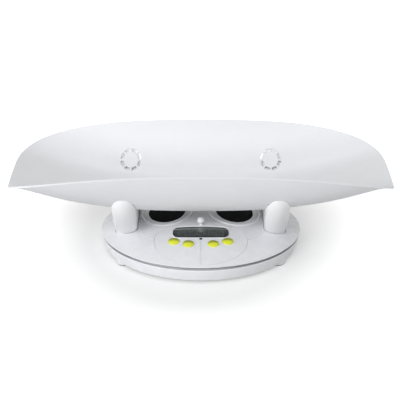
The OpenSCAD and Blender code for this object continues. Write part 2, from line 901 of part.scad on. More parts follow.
module lower_cell_screws() {
    color(steel)
        for (x = cell_hole_x)
            translate([-x, 0, 0]) {
                translate([0, 0, floor_z + 0.4]) cylinder(r = cell_head_r, h = 2.4);
                translate([0, 0, floor_z + 2]) cylinder(r = cell_screw_r, h = cell_low + 11 - floor_z);
            }
}

module upper_cell_screws() {
    color(steel)
        for (x = cell_hole_x)
            translate([x, 0, 0]) {
                translate([0, 0, frame_top]) cylinder(r = cell_head_r, h = 2.6);
                translate([0, 0, cell_top - 11]) cylinder(r = cell_screw_r, h = frame_top - cell_top + 12);
            }
}

frame_arm = 22;
frame_waist = 40;
module load_frame() {
    color(steel)
        difference() {
            translate([0, 0, frame_top - frame_t])
                linear_extrude(frame_t) {
                    square([2 * frame_screw_x + frame_arm, frame_waist], center = true);
                    for (s = [-1, 1])
                        translate([s * frame_screw_x, 0])
                            square([frame_arm, 2 * frame_screw_y + frame_arm], center = true);
                }
            cell_holes(1, frame_top - frame_t - 1, frame_t + 2, cell_screw_r + fit_gap);
            frame_screw_places()
                translate([0, 0, frame_top - frame_t - 1])
                    cylinder(r = frame_screw_r + fit_gap, h = frame_t + 2);
        }
}

frame_head_h = 2;
frame_bite = 4.5;
module frame_screws() {
    color(steel)
        frame_screw_places() {
            translate([0, 0, frame_top - frame_t - frame_head_h])
                cylinder(r = 2 * frame_screw_r, h = frame_head_h);
            translate([0, 0, frame_top - frame_t - frame_head_h / 2])
                cylinder(r = frame_screw_r, h = frame_head_h / 2 + frame_t + frame_bite);
        }
}

// ---- Lower base ----
lip_inset = 7.7;
lip_r = base_top_r - lip_inset;
lip_t = 2.2;
base_wall = 2.8;
lug_top = 15;
lug_z = foot_h - 1.2;
bay_x = battery_length + 6.5;
bay_y = battery_count * (battery_d + 0.3) + 2;
door_x = bay_x + 8;
door_y = bay_y + 6;
door_z = 5.4;
rail_x = door_x / 2 + 0.3;

module foot_places() {
    for (sx = [-1, 1], sy = [-1, 1]) translate([sx * foot_x, sy * foot_y, 0]) children();
}

module base_shell() {
    slope = (base_top_r - base_foot_r) / (gap_z - 1.3 - base_edge_z);
    rotate_extrude()
        polygon([
            [0, floor_z], [lip_r - 2, floor_z], [base_foot_r - 2.2, base_edge_z],
            [base_foot_r, base_edge_z], [base_top_r, gap_z - 1.3], [base_top_r - 1.1, gap_z],
            [lip_r, gap_z], [lip_r, gap_z + 2.3], [lip_r - lip_t, gap_z + 2.3],
            [lip_r - lip_t, gap_z - 2.5], [base_top_r - base_wall, gap_z - 2.5],
            [base_foot_r + slope * (floor_z + floor_t - base_edge_z) - base_wall, floor_z + floor_t],
            [0, floor_z + floor_t]]);
}

module lower_base() {
    color(shell_white)
        difference() {
            union() {
                base_shell();
                foot_places() translate([0, 0, lug_z]) cylinder(r = lug_r, h = lug_top - lug_z);
                // Boss under the load cell's fixed end
                translate([-cell_length / 2, -cell_width / 2, floor_z])
                    cube([spacer_length, cell_width, floor_t + cell_boss_h]);
                // Rails that hold the battery door
                for (s = [-1, 1])
                    translate([0, battery_y - door_y / 2, 0])
                        mirror([s < 0 ? 1 : 0, 0, 0]) {
                            translate([rail_x + 1.6, 0, door_z]) cube([2, door_y, floor_z - door_z + 0.5]);
                            translate([rail_x, 0, door_z]) cube([3, door_y, 1]);
                        }
            }
            foot_places() translate([0, 0, lug_z - 1]) cylinder(r = foot_r + 0.2, h = foot_h - lug_z + 1);
            translate([-bay_x / 2, battery_y - bay_y / 2, floor_z - 1]) cube([bay_x, bay_y, floor_t + 2]);
            for (x = cell_hole_x) {
                translate([-x, 0, floor_z - 1]) cylinder(r = cell_head_r + 0.2, h = 1 + 2.8 + fit_gap);
                translate([-x, 0, floor_z]) cylinder(r = cell_screw_r + fit_gap, h = 20);
            }
        }
}

module rubber_feet() {
    color(rubber_black) foot_places() cylinder(r = foot_r, h = foot_h - fit_gap);
}

// ---- Battery ----
bay_wall = 2;
bay_low = floor_z + floor_t;
door_t = 2.2;
cell_z = door_z + door_t + 0.3 + battery_d / 2;
bay_top = cell_z + battery_d / 2 + 0.5;
contact_t = 0.5;
contact_w = 10;
spring_r = [4, 2.5];
battery_nub = [2.7, 1.3];

module battery_box() {
    color([0.86, 0.86, 0.87])
        difference() {
            translate([-bay_x / 2 - bay_wall, battery_y - bay_y / 2 - bay_wall, bay_low])
                cube([bay_x + 2 * bay_wall, bay_y + 2 * bay_wall, bay_top + bay_wall - bay_low]);
            translate([-bay_x / 2, battery_y - bay_y / 2, bay_low - 1])
                cube([bay_x, bay_y, bay_top + 1 - bay_low]);
        }
}

// Cells lie side by side, each turned the other way round than its neighbour.
module at_cell(k) {
    translate([0, battery_y + (k - (battery_count - 1) / 2) * (battery_d + 0.3), cell_z])
        mirror([k % 2, 0, 0]) rotate([0, 90, 0]) children();
}
cell_shift = 1.75;

module batteries() {
    color([0.20, 0.22, 0.25])
        for (k = [0 : battery_count - 1])
            at_cell(k)
                translate([0, 0, cell_shift]) {
                    translate([0, 0, -battery_length / 2])
                        cylinder(r = battery_d / 2, h = battery_length - battery_nub[1] + 0.1);
                    translate([0, 0, battery_length / 2 - battery_nub[1]])
                        cylinder(r = battery_nub[0], h = battery_nub[1]);
                }
}

module battery_contacts() {
    spring_room = bay_x / 2 + cell_shift - battery_length / 2;
    color(steel)
        for (k = [0 : battery_count - 1])
            at_cell(k) {
                // Plate at the flat end, with a sprung cone
                translate([-contact_w / 2, -contact_w / 2, -bay_x / 2])
                    cube([contact_w, contact_w, contact_t]);
                translate([0, 0, -bay_x / 2 + contact_t - eps])
                    cylinder(r1 = spring_r[0], r2 = spring_r[1], h = spring_room - contact_t - 0.1);
                // Plate at the button end
                translate([-contact_w / 2, -contact_w / 2, bay_x / 2 - contact_t])
                    cube([contact_w, contact_w, contact_t]);
                translate([0, 0, battery_length / 2 + cell_shift + 0.1])
                    cylinder(r = spring_r[1], h = bay_x / 2 - battery_length / 2 - cell_shift - 0.2);
            }
}

module battery_door() {
    color(shell_white)
        difference() {
            union() {
                translate([-door_x / 2, battery_y - door_y / 2, door_z]) cube([door_x, door_y, door_t]);
                translate([-door_x / 2 - 1.5, battery_y - door_y / 2, door_z + 1.3])
                    cube([door_x + 3, door_y, door_t - 1.3]);
            }
            // Finger grip
            for (k = [0 : 3])
                translate([-10, battery_y - door_y / 2 + 6 + 3 * k, door_z - 1]) cube([20, 1.4, 1.8]);
        }
}

tray();
left_support();
right_support();
support_screws();
platform_cover();
left_foot_mat();
right_foot_mat();
control_panel();
display_bezel();
display_lens();
indicator_lens();
button_outer_left();
button_inner_left();
button_inner_right();
button_outer_right();
plunger_outer_left();
plunger_inner_left();
plunger_inner_right();
plunger_outer_right();
tact_switches();
circuit_board();
board_screws();
lcd_module();
lcd_frame();
buzzer();
pull_ball();
tape();
tape_case();
tape_reel();
tape_arbor();
load_frame();
frame_screws();
load_cell();
lower_spacer();
upper_spacer();
lower_cell_screws();
upper_cell_screws();
lower_base();
rubber_feet();
battery_box();
batteries();
battery_contacts();
battery_door();
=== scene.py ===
"""Digital baby weighing scale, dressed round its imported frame.

The frame gives every piece its place and motion. The visible shells are modelled here in
millimetres, in the frame's own axes, and scaled to metres when a piece is finished: X runs along
the tray, the display faces -Y, Z is up and the rubber feet stand on Z = 0.
"""

import json
import math

import bmesh
import bpy
from mathutils import Matrix, Vector


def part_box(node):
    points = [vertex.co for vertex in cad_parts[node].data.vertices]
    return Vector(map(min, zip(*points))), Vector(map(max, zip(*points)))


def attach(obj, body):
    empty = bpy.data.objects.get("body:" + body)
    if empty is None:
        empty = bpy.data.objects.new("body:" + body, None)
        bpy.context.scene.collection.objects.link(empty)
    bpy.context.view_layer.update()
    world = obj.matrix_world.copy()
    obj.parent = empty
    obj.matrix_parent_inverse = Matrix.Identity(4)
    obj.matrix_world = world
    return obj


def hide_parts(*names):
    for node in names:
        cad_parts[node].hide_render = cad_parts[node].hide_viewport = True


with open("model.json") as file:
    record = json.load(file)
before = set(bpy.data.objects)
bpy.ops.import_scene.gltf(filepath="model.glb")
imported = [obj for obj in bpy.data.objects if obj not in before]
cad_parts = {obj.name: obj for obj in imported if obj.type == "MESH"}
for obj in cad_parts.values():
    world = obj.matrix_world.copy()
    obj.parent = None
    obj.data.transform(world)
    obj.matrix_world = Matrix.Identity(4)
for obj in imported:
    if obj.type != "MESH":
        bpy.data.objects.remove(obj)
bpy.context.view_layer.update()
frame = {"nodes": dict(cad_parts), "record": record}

# ---- Sizes, in millimetres ----
MM = 0.001

# Domed cover: its rim and the paraboloid of its outside.
rim_z = 29.2
rim_t = 0.8
cover_r = 162.3
cover_wall = 3.0
dome_rise = 25.6
dome_top = rim_z + rim_t + dome_rise

# Tray: every power shapes a curve over u, along the tray, or t, across it.
tray_length = 600.0
tray_depth = 275.6
tray_end_depth = 192.4
trough_height = 80.0
trough_power = 2.65
rim_drop = 31.7
rim_power = 2.82
tray_wall = 3.0
tray_round = 1.3
end_bulge = 1.5
corner_pull = 5.0
corner_cut = 23.0
corner_run = 22
plan_power = 4.85
section_power = 5.0
tray_rim_z = dome_top + 29.4 + tray_wall + trough_height
half_length = tray_length / 2

# Supports, their sockets in the cover and their screws.
support_x = 119.5
foot_r = 17.4
foot_half = 33.8
top_r = 19.8
span_half = 100.2
horn_start = 0.85
horn_power = 1.7
flare_drop = 0.8
saddle_lap = 1.4
socket_z = dome_top - 28.6
socket_gap = 0.8
socket_wall = 2.6
socket_floor = 3.0
support_screw_y = 22.0
seat_gap = 0.3
boss_r = 5.5
boss_h = 10.5
boss_bore_r = 2.1
well_r = 4.3
well_depth = 6.0
well_bore_r = 2.05
well_end = 12.0

# Rings of slots in the tray's walls.
ring_x = 118.0
ring_y = 101.2
ring_r = 17.6
ring_stretch = 1.15
slot_width = 5.0
slot_rib = 3.0
slot_count = 8
slot_sink = 4.5
slot_skin = 2.0
slot_tilt = 30.0
slot_reach = 13

# Mats, the raised ovals round them and the fine arc on the cover.
mat_x = 55.0
mat_y = 10.0
mat_half = (30.3, 44.4)
mat_gap = 0.25
mat_low = -1.15
mat_high = 0.6
mat_round = 0.55
mat_recess = 1.2
oval_half = (42.75, 54.75)
ridge_h = 1.6
ridge_w = 1.3
style_r = 114.0
style_w = 1.2
style_depth = 0.8
style_back = -8.0
style_clear = 1.5

# Control panel and display.
panel_y = 90.0
panel_half_x = 73.3
panel_back = 37.5
panel_front = 67.0
panel_square = 2 / 3
panel_inset = 0.15
seam_gap = 0.05
window_y = 71.0
window_half = (44.2, 15.6)
window_corner = (9.0, 13.0)
lip_width = 1.9
lip_h = 0.8
glass_sink = 0.15
mark_gap = 0.05
mark_depth = 1.5
groove_half = 0.9
groove_depth = 1.3
groove_end = 1.0
groove_gap = 0.3

# Keys: each place is its X and its distance in front of the middle.
key_y = 88.0
key_tilt = math.asin(2 * dome_rise * key_y / cover_r**2)
button_r = 8.7
button_gap = 0.35
cap_edge = 1.5
cap_crown = 3.1
skirt_out = 1.1
skirt_low = 4.8
skirt_high = 4.3
stem_r = 2.6
stem_low = 8.6
stem_high = 4.5
buttons = {
    "outer_left": (-42.2, 97.0),
    "inner_left": (-19.4, 105.4),
    "inner_right": (19.4, 105.4),
    "outer_right": (42.2, 97.0),
}

# Pull of the measuring tape.
ball_r = 5.8
ball_y = 50.4
ball_lift = 8.1
neck_r = 2.8
neck_round = 0.3
neck_lift = 0.7
neck_h = 0.9
tape_slot_half = (2.7, 0.75)

# Lower shell, with its feet, battery bay and load cell.
gap_z = 23.8
base_top_r = 161.3
base_foot_r = 156.0
base_edge_z = 5.0
base_wall = 2.8
base_floor = 8.0
base_floor_t = 2.5
base_top_round = 1.3
base_foot_round = 1.2
moat_depth = 6.0
inner_lip_r = 153.6
inner_lip_t = 2.2
inner_lip_top = 24.2
foot_place = (120.5, 79.0)
foot_well_r = 12.2
foot_well_top = 3.0
lug_r = 14.5
lug_low = 1.8
lug_top = 15.0
door_z = 5.4
rail_gap = 0.3
rail_step = 1.6
rail_w = 2.0
ledge_w = 3.0
ledge_t = 1.0
bay_wall = 2.0
cell_screw_x = (-57.5, -37.5)
cell_head_r = 5.2
cell_head_top = 11.1
cell_hole_r = 3.3

# ---- Floor's shadow field, in millimetres, then light and camera, in metres ----
shadow_centre = (-10, 60)
shadow_half = (260, 400)
floor_glow = 0.38
sky_level = 0.36
lamp_target = Vector((0, 0, 0.08))
camera_angle = math.radians(21.95)
camera_distance = 2.1187
camera_target = Vector((-0.0013, 0, 0.07603))
camera_focus = 1301 / 400

# ---- Materials ----


class Wire:
    """A number on a node's socket. Python's operators add Math nodes beside it."""

    def __init__(self, nodes, socket):
        self.nodes = nodes
        self.socket = socket

    def math(self, operation, *values):
        return self.nodes.math(operation, *values)

    def __add__(self, other):
        return self.math("ADD", self, other)

    __radd__ = __add__

    def __sub__(self, other):
        return self.math("SUBTRACT", self, other)

    def __rsub__(self, other):
        return self.math("SUBTRACT", other, self)

    def __mul__(self, other):
        return self.math("MULTIPLY", self, other)

    __rmul__ = __mul__

    def __truediv__(self, other):
        return self.math("DIVIDE", self, other)

    def __pow__(self, other):
        return self.math("POWER", self, other)

    def __mod__(self, other):
        return self.math("FLOORED_MODULO", self, other)

    def __abs__(self):
        return self.math("ABSOLUTE", self)

    def above(self, limit, soft=0.1, under=0.0, over=1.0):
        """1 where the value is over the limit and 0 under it, with a soft edge."""
        span = {"From Min": limit - soft, "From Max": limit + soft, "To Min": under, "To Max": over}
        return self.nodes.node("ShaderNodeMapRange", {"clamp": True}, {"Value": self, **span})

    def below(self, limit, soft=0.1):
        """1 where the value is under the limit and 0 over it, with a soft edge."""
        return self.above(limit, soft, under=1.0, over=0.0)

    def both(self, other):
        return self.math("MINIMUM", self, other)

    def either(self, other):
        return self.math("MAXIMUM", self, other)


class Nodes:
    """The nodes of a material or of the world."""

    def __init__(self, owner):
        owner.use_nodes = True
        self.tree = owner.node_tree

    def node(self, kind, settings=None, values=(), output=0):
        """Adds a node with its settings, and gives its sockets values or links."""
        made = self.tree.nodes.new(kind)
        for key, value in (settings or {}).items():
            setattr(made, key, value)
        pairs = values.items() if isinstance(values, dict) else enumerate(values)
        for key, value in pairs:
            if isinstance(value, Wire):
                self.tree.links.new(value.socket, made.inputs[key])
            else:
                made.inputs[key].default_value = value
        return Wire(self, made.outputs[output])

    def math(self, operation, *values):
        return self.node("ShaderNodeMath", {"operation": operation}, values)

    def seen_directly(self):
        """1 for what the camera, a mirror or glass looks at, and 0 for what only gets light."""
        rays = ("Is Camera Ray", "Is Glossy Ray", "Is Transmission Ray")
        camera, glossy, through = [self.node("ShaderNodeLightPath", output=ray) for ray in rays]
        return camera.either(glossy).either(through)


class Paint(Nodes):
    """One material. Its plain values are set by name, with _ for each space."""

    def __init__(self, name, **surface):
        self.material = bpy.data.materials.new(name)
        super().__init__(self.material)
        self.shader = self.tree.nodes["Principled BSDF"]
        for socket, value in surface.items():
            self.shader.inputs[socket.replace("_", " ")].default_value = value
        self.material.diffuse_color = surface["Base_Color"]

    def place(self):
        """X, Y and Z of the point on the piece, in millimetres."""
        point = self.node("ShaderNodeTexCoord", output="Object")
        self.spot = self.node("ShaderNodeVectorMath", {"operation": "SCALE"}, {0: point, "Scale": 1 / MM})
        return [self.node("ShaderNodeSeparateXYZ", values=[self.spot], output=axis) for axis in "XYZ"]

    def noise(self, scale, detail=2.0):
        """Noise with about scale features per millimetre."""
        settings = {"Vector": self.spot, "Scale": scale, "Detail": detail}
        return self.node("ShaderNodeTexNoise", values=settings)

    def mix(self, factor, first, second):
        """The first colour where the factor is 0 and the second where it is 1."""
        colours = {"Factor": factor, 6: first, 7: second}
        return self.node("ShaderNodeMix", {"data_type": "RGBA"}, colours, output=2)

    def feed(self, socket, wire):
        self.tree.links.new(wire.socket, self.shader.inputs[socket])

    def bump(self, height, strength, distance):
        """Turns a height from 0 to 1, worth distance in millimetres, into the surface's normal."""
        heights = {"Height": height, "Strength": strength, "Distance": distance * MM}
        self.feed("Normal", self.node("ShaderNodeBump", values=heights))


def rgb(r, g, b):
    """A colour as it looks on screen, 0 to 255, as the shader wants it."""

    def linear(c):
        c /= 255
        return c / 12.92 if c <= 0.04045 else ((c + 0.055) / 1.055) ** 2.4

    return (linear(r), linear(g), linear(b), 1.0)


def moulded(name, colour, shade, rough, grain, coat=0.0):
    """Injection-moulded plastic: a faint mottle in its colour, a varying gloss and a fine grain."""
    paint = Paint(name, Base_Color=colour, Roughness=rough, Coat_Weight=coat, Coat_Roughness=0.12)
    paint.place()
    cloud = paint.noise(0.03, 3.0)
    fine = paint.noise(1.4, 3.0)
    paint.feed("Base Color", paint.mix(cloud.below(0.5, 0.25), colour, shade))
    paint.feed("Roughness", rough + (cloud - 0.5) * 0.1 + (fine - 0.5) * 0.08)
    paint.bump(fine, 1.0, grain)
    return paint


def rubber():
    """Black anti-slip rubber with rows of small pimples."""
    black = rgb(13, 13, 13)
    paint = Paint("mat_rubber", Base_Color=black, Roughness=0.8, Specular_IOR_Level=0.08)
    x, y, _ = paint.place()
    row = abs((x + y) % 2.4 - 1.2) + abs((x - y) % 2.4 - 1.2)
    pimple = row.below(0.9, 0.35)
    fine = paint.noise(2.0, 3.0)
    paint.feed("Base Color", paint.mix(fine.below(0.5, 0.2), rgb(19, 19, 19), black))
    paint.feed("Roughness", 0.72 + fine * 0.2)
    paint.bump(pimple * 0.6 + fine * 0.25, 1.0, 0.1)
    return paint


def smoked_window():
    """Dark window over an unlit display, whose digits show as faint darker strokes. Its rear part is
    painted lighter and a bright line is painted near its rear edge, both painted reflections.
    """
    paint = Paint(
        "display_smoke", Base_Color=rgb(56, 60, 59), Roughness=0.14, Coat_Weight=0.6, Coat_Roughness=0.03
    )
    pitch = 12.4
    slant = -0.12
    half_wide = 3.4
    half_high = 4.1
    stroke = 0.7
    x, y, _ = paint.place()
    depth = y + window_y
    across = (x + depth * slant) % pitch - pitch / 2
    along = abs(depth + 1.0)
    upright = abs(abs(across) - half_wide).below(stroke, 0.2).both(abs(along - half_high).below(3.0, 0.2))
    middle = along.below(stroke, 0.2)
    ends = abs(along - 8.0).below(stroke, 0.2)
    level = abs(across).below(2.7, 0.2).both(middle.either(ends))
    field = abs(x).below(37.0, 0.4).both(along.below(10.5, 0.3))
    backing = paint.mix(field, rgb(44, 47, 47), rgb(66, 71, 69))
    inked = paint.mix(upright.either(level).both(field) * 0.8, backing, rgb(46, 50, 50))
    # Painted reflection: the window turns lighter towards its rear.
    painted_reflection = paint.mix(depth.above(3.0, 7.0) * 0.4, inked, rgb(118, 126, 120))
    # Painted reflection: a bright line near the rear edge, stronger on the left.
    strip = abs(depth - 9.4).below(1.5, 0.9)
    paint.feed("Base Color", paint.mix(strip * (0.55 - x * 0.006), painted_reflection, rgb(156, 163, 158)))
    paint.feed("Roughness", 0.12 + paint.noise(0.4) * 0.06)
    return paint


def key_plastic(name, side, front):
    """Yellow-green key, darker over its rear half, with a few faint strokes printed there."""
    bright = rgb(222, 228, 56)
    paint = Paint("key_green_" + name, Base_Color=bright, Roughness=0.38)
    x, y, _ = paint.place()
    to_rear = (y + front) / button_r
    stroke = abs((x - side) % 3.0 - 1.5).below(0.9, 0.3)
    printed = to_rear.above(0.32, 0.12).both(abs(x - side).below(button_r * 0.62, 0.8))
    fine = paint.noise(1.2, 3.0)
    deep = paint.mix(to_rear.above(-0.08, 0.22) * 0.9, bright, rgb(152, 160, 52))
    paint.feed("Base Color", paint.mix(printed.both(stroke) * 0.5, deep, rgb(112, 124, 34)))
    paint.feed("Roughness", 0.34 + fine * 0.12)
    paint.bump(fine, 1.0, 0.02)
    return paint


def zinc():
    """Zinc-plated steel, with fine streaks."""
    paint = Paint("zinc_steel", Base_Color=rgb(188, 190, 194), Metallic=1.0, Roughness=0.35)
    paint.place()
    drawn = paint.node("ShaderNodeVectorMath", {"operation": "MULTIPLY"}, [paint.spot, (0.2, 3.0, 3.0)])
    streak = paint.node("ShaderNodeTexNoise", values={"Vector": drawn, "Scale": 1.0})
    paint.feed("Base Color", paint.mix(streak, rgb(200, 202, 206), rgb(168, 170, 176)))
    paint.feed("Roughness", 0.28 + streak * 0.2)
    return paint


def milled():
    """Milled aluminium, with the cutter's passes across it."""
    paint = Paint("milled_aluminium", Base_Color=rgb(205, 207, 210), Metallic=1.0, Roughness=0.3)
    x, _, _ = paint.place()
    passes = abs((x + paint.noise(0.3) * 0.4) % 1.2 - 0.6)
    paint.feed("Roughness", 0.24 + passes * 0.3)
    paint.bump(passes, 0.6, 0.02)
    return paint


def circuit():
    """Green solder mask over faint copper tracks."""
    paint = Paint(
        "solder_mask", Base_Color=rgb(24, 92, 50), Roughness=0.35, Coat_Weight=0.3, Coat_Roughness=0.1
    )
    x, y, _ = paint.place()
    track = abs(x % 2.54 - 1.27).below(0.32, 0.08).either(abs(y % 5.08 - 2.54).below(0.3, 0.08))
    patch = paint.noise(0.08).below(0.52, 0.02)
    paint.feed("Base Color", paint.mix(track.both(patch), rgb(22, 86, 46), rgb(46, 128, 74)))
    return paint


def glass_cell():
    """Grey-green face of the liquid crystal module."""
    paint = Paint("crystal_grey", Base_Color=rgb(122, 130, 112), Roughness=0.18)
    paint.place()
    paint.feed("Base Color", paint.mix(paint.noise(0.2), rgb(126, 134, 116), rgb(116, 124, 108)))
    return paint


def wrap():
    """Printed sleeve of a battery: dark, with a coppery band at its cap end."""
    paint = Paint("battery_sleeve", Base_Color=rgb(46, 50, 58), Roughness=0.32)
    x, _, _ = paint.place()
    paint.feed("Base Color", paint.mix(abs(x).above(12.0, 0.2), rgb(40, 44, 52), rgb(150, 104, 62)))
    return paint


def ruled_tape():
    """Cream measuring tape, with a stroke every millimetre and a longer one every ten."""
    paint = Paint("ruled_tape", Base_Color=rgb(236, 228, 192), Roughness=0.5)
    x, _, z = paint.place()
    small = abs(z % 1.0 - 0.5).below(0.12, 0.03).both(x.above(0.8, 0.05))
    tens = abs(z % 10.0 - 5.0).below(0.16, 0.03)
    paint.feed("Base Color", paint.mix(small.either(tens), rgb(236, 228, 192), rgb(60, 56, 50)))
    return paint


# A lighter copy of the white plastic, for the supports and the tape's pull, which sit in shade: its extra
# brightness is painted light.
painted_light_white = moulded("white_painted_light", rgb(244, 245, 247), rgb(241, 242, 244), 0.42, 0.02)
finishes = {
    "tray_white": moulded("tray_white", rgb(232, 233, 236), rgb(229, 230, 233), 0.46, 0.02),
    "shell_white": moulded("shell_white", rgb(234, 235, 238), rgb(231, 232, 235), 0.27, 0.012, coat=0.15),
    "mat_black": rubber(),
    "window_dark": smoked_window(),
    "inner_plastic": moulded("inner_grey", rgb(206, 206, 206), rgb(198, 198, 198), 0.5, 0.03),
    "inner_dark": moulded("inner_black", rgb(34, 34, 36), rgb(26, 26, 28), 0.5, 0.03),
    "board_green": circuit(),
    "lcd_grey": glass_cell(),
    "steel": zinc(),
    "aluminium": milled(),
    "battery_wrap": wrap(),
    "tape_cream": ruled_tape(),
}
key_paints = {name: key_plastic(name, *place) for name, place in buttons.items()}

for part in frame["record"]["subparts"]:
    slot = part["material_slot"]
    node = frame["nodes"][part["node"]]
    paint = key_paints[part["node"].removeprefix("button_")] if slot == "key_green" else finishes[slot]
    node.data.materials.clear()
    node.data.materials.append(paint.material)

# ---- Surfaces ----


def dome_z(r):
    """Height of the dome's outside at a distance from its axis."""
    return dome_top - dome_rise * (r / cover_r) ** 2


def skin_z(x, y):
    """Height of the platform's outside over a place on the plan, with its raised ovals."""
    z = dome_z(math.hypot(x, y))
    across = (abs(x) - mat_x) / oval_half[0]
    along = (y - mat_y) / oval_half[1]
    off = (math.hypot(across, along) - 1) * min(oval_half)
    if abs(off) < 2 * ridge_w:
        z += ridge_h * math.cos(math.pi * off / (4 * ridge_w)) ** 2
    return z


def skin_normal(p, e=0.05):
    """Outward direction of the platform's outside at a point on it."""
    dx = (skin_z(p.x + e, p.y) - skin_z(p.x - e, p.y)) / (2 * e)
    dy = (skin_z(p.x, p.y + e) - skin_z(p.x, p.y - e)) / (2 * e)
    return Vector((-dx, -dy, 1)).normalized()


def node_box(node):
    """A node's lowest and highest corners, in millimetres."""
    return [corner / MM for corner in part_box(node)]


def signed_pow(v, p):
    """A power that keeps the sign of its base."""
    return math.copysign(abs(v) ** p, v)


def half_depth(u, t=0.0):
    """Half of the tray's depth at u. Its rear corners, where t is over 0, are cut back round."""
    half = (tray_depth - (tray_depth - tray_end_depth) * abs(u) ** plan_power) / 2
    return half - corner_cut * abs(u) ** corner_run if t > 0 else half


def tray_point(u, t):
    """A point of the tray's inside: u runs from tip to tip and t from rim to rim, both -1 to 1."""
    bulge = end_bulge * signed_pow(u, plan_power) * (1 - t * t)
    pull = corner_pull * signed_pow(u, 8) * max(t, 0) ** 3
    trough = trough_height * (1 - abs(u) ** trough_power)
    return Vector((
        (half_length - end_bulge) * u + bulge - pull,
        t * half_depth(u, t),
        tray_rim_z - rim_drop * abs(u) ** rim_power - trough * (1 - abs(t) ** section_power),
    ))


def tray_normal(u, t, e=1e-4):
    """Upward direction of the tray's inside."""
    along = tray_point(u + e, t) - tray_point(u - e, t)
    across = tray_point(u, t + e) - tray_point(u, t - e)
    return along.cross(across).normalized()


def tray_below(u, t, depth):
    """The point that lies depth under the tray's inside at u and t."""
    return tray_point(u, t) - depth * tray_normal(u, t)


def tray_shade(p, depth):
    """Upward direction of the tray's surface at a point that lies depth under its inside."""
    x, y = p.x, p.y
    for _ in range(5):
        u = max(-1.0, min(1.0, x / half_length))
        t = max(-1.0, min(1.0, y / half_depth(u, y)))
        miss = p - tray_below(u, t, depth)
        x += miss.x
        y += miss.y
    return tray_normal(u, t)


# ---- Mesh tools ----


def revolved(profile, steps, closed=False):
    """A mesh turned about Z from (radius, height) points: an eighth of a turn, then its copies."""
    bm = bmesh.new()
    points = [bm.verts.new((r, 0, z)) for r, z in profile]
    pairs = zip(points, points[1:] + points[:1] if closed else points[1:])
    edges = [bm.edges.new(pair) for pair in pairs]
    about = {"cent": (0, 0, 0), "axis": (0, 0, 1)}
    bmesh.ops.spin(bm, geom=points + edges, angle=math.tau / 8, steps=steps // 8, **about)
    wedge = bm.verts[:] + bm.edges[:] + bm.faces[:]
    bmesh.ops.spin(bm, geom=wedge, angle=math.tau * 7 / 8, steps=7, use_duplicate=True, **about)
    bmesh.ops.remove_doubles(bm, verts=bm.verts, dist=1e-3)
    bmesh.ops.recalc_face_normals(bm, faces=bm.faces)
    return bm


def lofted(loops, capped=True):
    """A mesh through closed loops with equal numbers of points, capped or joined end to end."""
    bm = bmesh.new()
    rings = []
    for loop in loops:
        points = [bm.verts.new(p) for p in loop]
        rings.append([bm.edges.new(pair) for pair in zip(points, points[1:] + points[:1])])
    following = rings[1:] if capped else rings[1:] + rings[:1]
    for ring, upper in zip(rings, following):
        bmesh.ops.bridge_loops(bm, edges=ring + upper)
    if capped:
        for ring in (rings[0], rings[-1]):
            bmesh.ops.edgeloop_fill(bm, edges=ring)
    bmesh.ops.recalc_face_normals(bm, faces=bm.faces)
    return bm


def prism(outline, low, high):
    """An outline on the plan, made solid between two heights."""
    return lofted([[(x, y, z) for x, y in outline] for z in (low, high)])


def joined(*meshes):
    """One mesh that holds several."""
    whole = bmesh.new()
    for bm in meshes:
        mesh = bpy.data.meshes.new("part")
        bm.to_mesh(mesh)
        whole.from_mesh(mesh)
        bpy.data.meshes.remove(mesh)
        bm.free()
    return whole


def at(x, y, z):
    return Matrix.Translation((x, y, z))


def moved(bm, matrix):
    bmesh.ops.transform(bm, matrix=matrix, verts=bm.verts)
    bmesh.ops.recalc_face_normals(bm, faces=bm.faces)
    return bm


def dropped(bm):
    """Lays a mesh that was made on the flat onto the dome."""
    for v in bm.verts:
        v.co.z += dome_z(math.hypot(v.co.x, v.co.y))
    return bm


def as_object(bm, name):
    mesh = bpy.data.meshes.new(name)
    bm.to_mesh(mesh)
    bm.free()
    made = bpy.data.objects.new(name, mesh)
    bpy.context.scene.collection.objects.link(made)
    return made


def combined(bm, operation, *others):
    """A mesh after a Boolean with each of the others in turn."""
    body = as_object(bm, "body")
    tools = [as_object(other, "tool") for other in others]
    for tool in tools:
        cut = body.modifiers.new("cut", "BOOLEAN")
        cut.operation = operation
        cut.solver = "MANIFOLD"
        cut.object = tool
    bpy.context.view_layer.update()
    graph = bpy.context.evaluated_depsgraph_get()
    result = bmesh.new()
    result.from_mesh(bpy.data.meshes.new_from_object(body.evaluated_get(graph)))
    for used in (body, *tools):
        bpy.data.objects.remove(used)
    bmesh.ops.remove_doubles(result, verts=result.verts, dist=1e-4)
    return result


def softened(bm, width, segments, sharper):
    """Rounds the edges at which faces meet at more than an angle, in degrees."""
    edges = [e for e in bm.edges if e.is_manifold and math.degrees(e.calc_face_angle(0)) > sharper]
    shape = {"profile": 0.5, "affect": "EDGES", "material": -1, "clamp_overlap": True}
    bmesh.ops.bevel(bm, geom=edges, offset=width, segments=segments, **shape)
    return bm


def finished(bm, name, body, slot, stands_for=(), paint=None, shade=None, crease=32.0):
    """Makes a mesh in millimetres a piece of the object.

    shade gives the exact surface directions that a point may have, none where it isn't on the
    shell, and a face takes the one that it nearly has, so that cut shells still shade smoothly.
    """
    bmesh.ops.scale(bm, vec=(MM, MM, MM), verts=bm.verts)
    piece = as_object(bm, name)
    mesh = piece.data
    mesh.materials.append((paint or finishes[slot]).material)
    mesh.polygons.foreach_set("use_smooth", [True] * len(mesh.polygons))
    mesh.set_sharp_from_angle(angle=math.radians(crease))
    if shade:
        near = math.cos(math.radians(25))
        normals = [Vector(c.vector) for c in mesh.corner_normals]
        known = {}
        for face in mesh.polygons:
            for corner in face.loop_indices:
                index = mesh.loops[corner].vertex_index
                if index not in known:
                    known[index] = shade(mesh.vertices[index].co / MM)
                close = [n for n in known[index] if n.dot(face.normal) > near]
                if close:
                    normals[corner] = close[0]
        mesh.normals_split_custom_set(normals)
    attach(piece, body)
    if stands_for:
        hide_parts(*stands_for)


# ---- Plan outlines ----


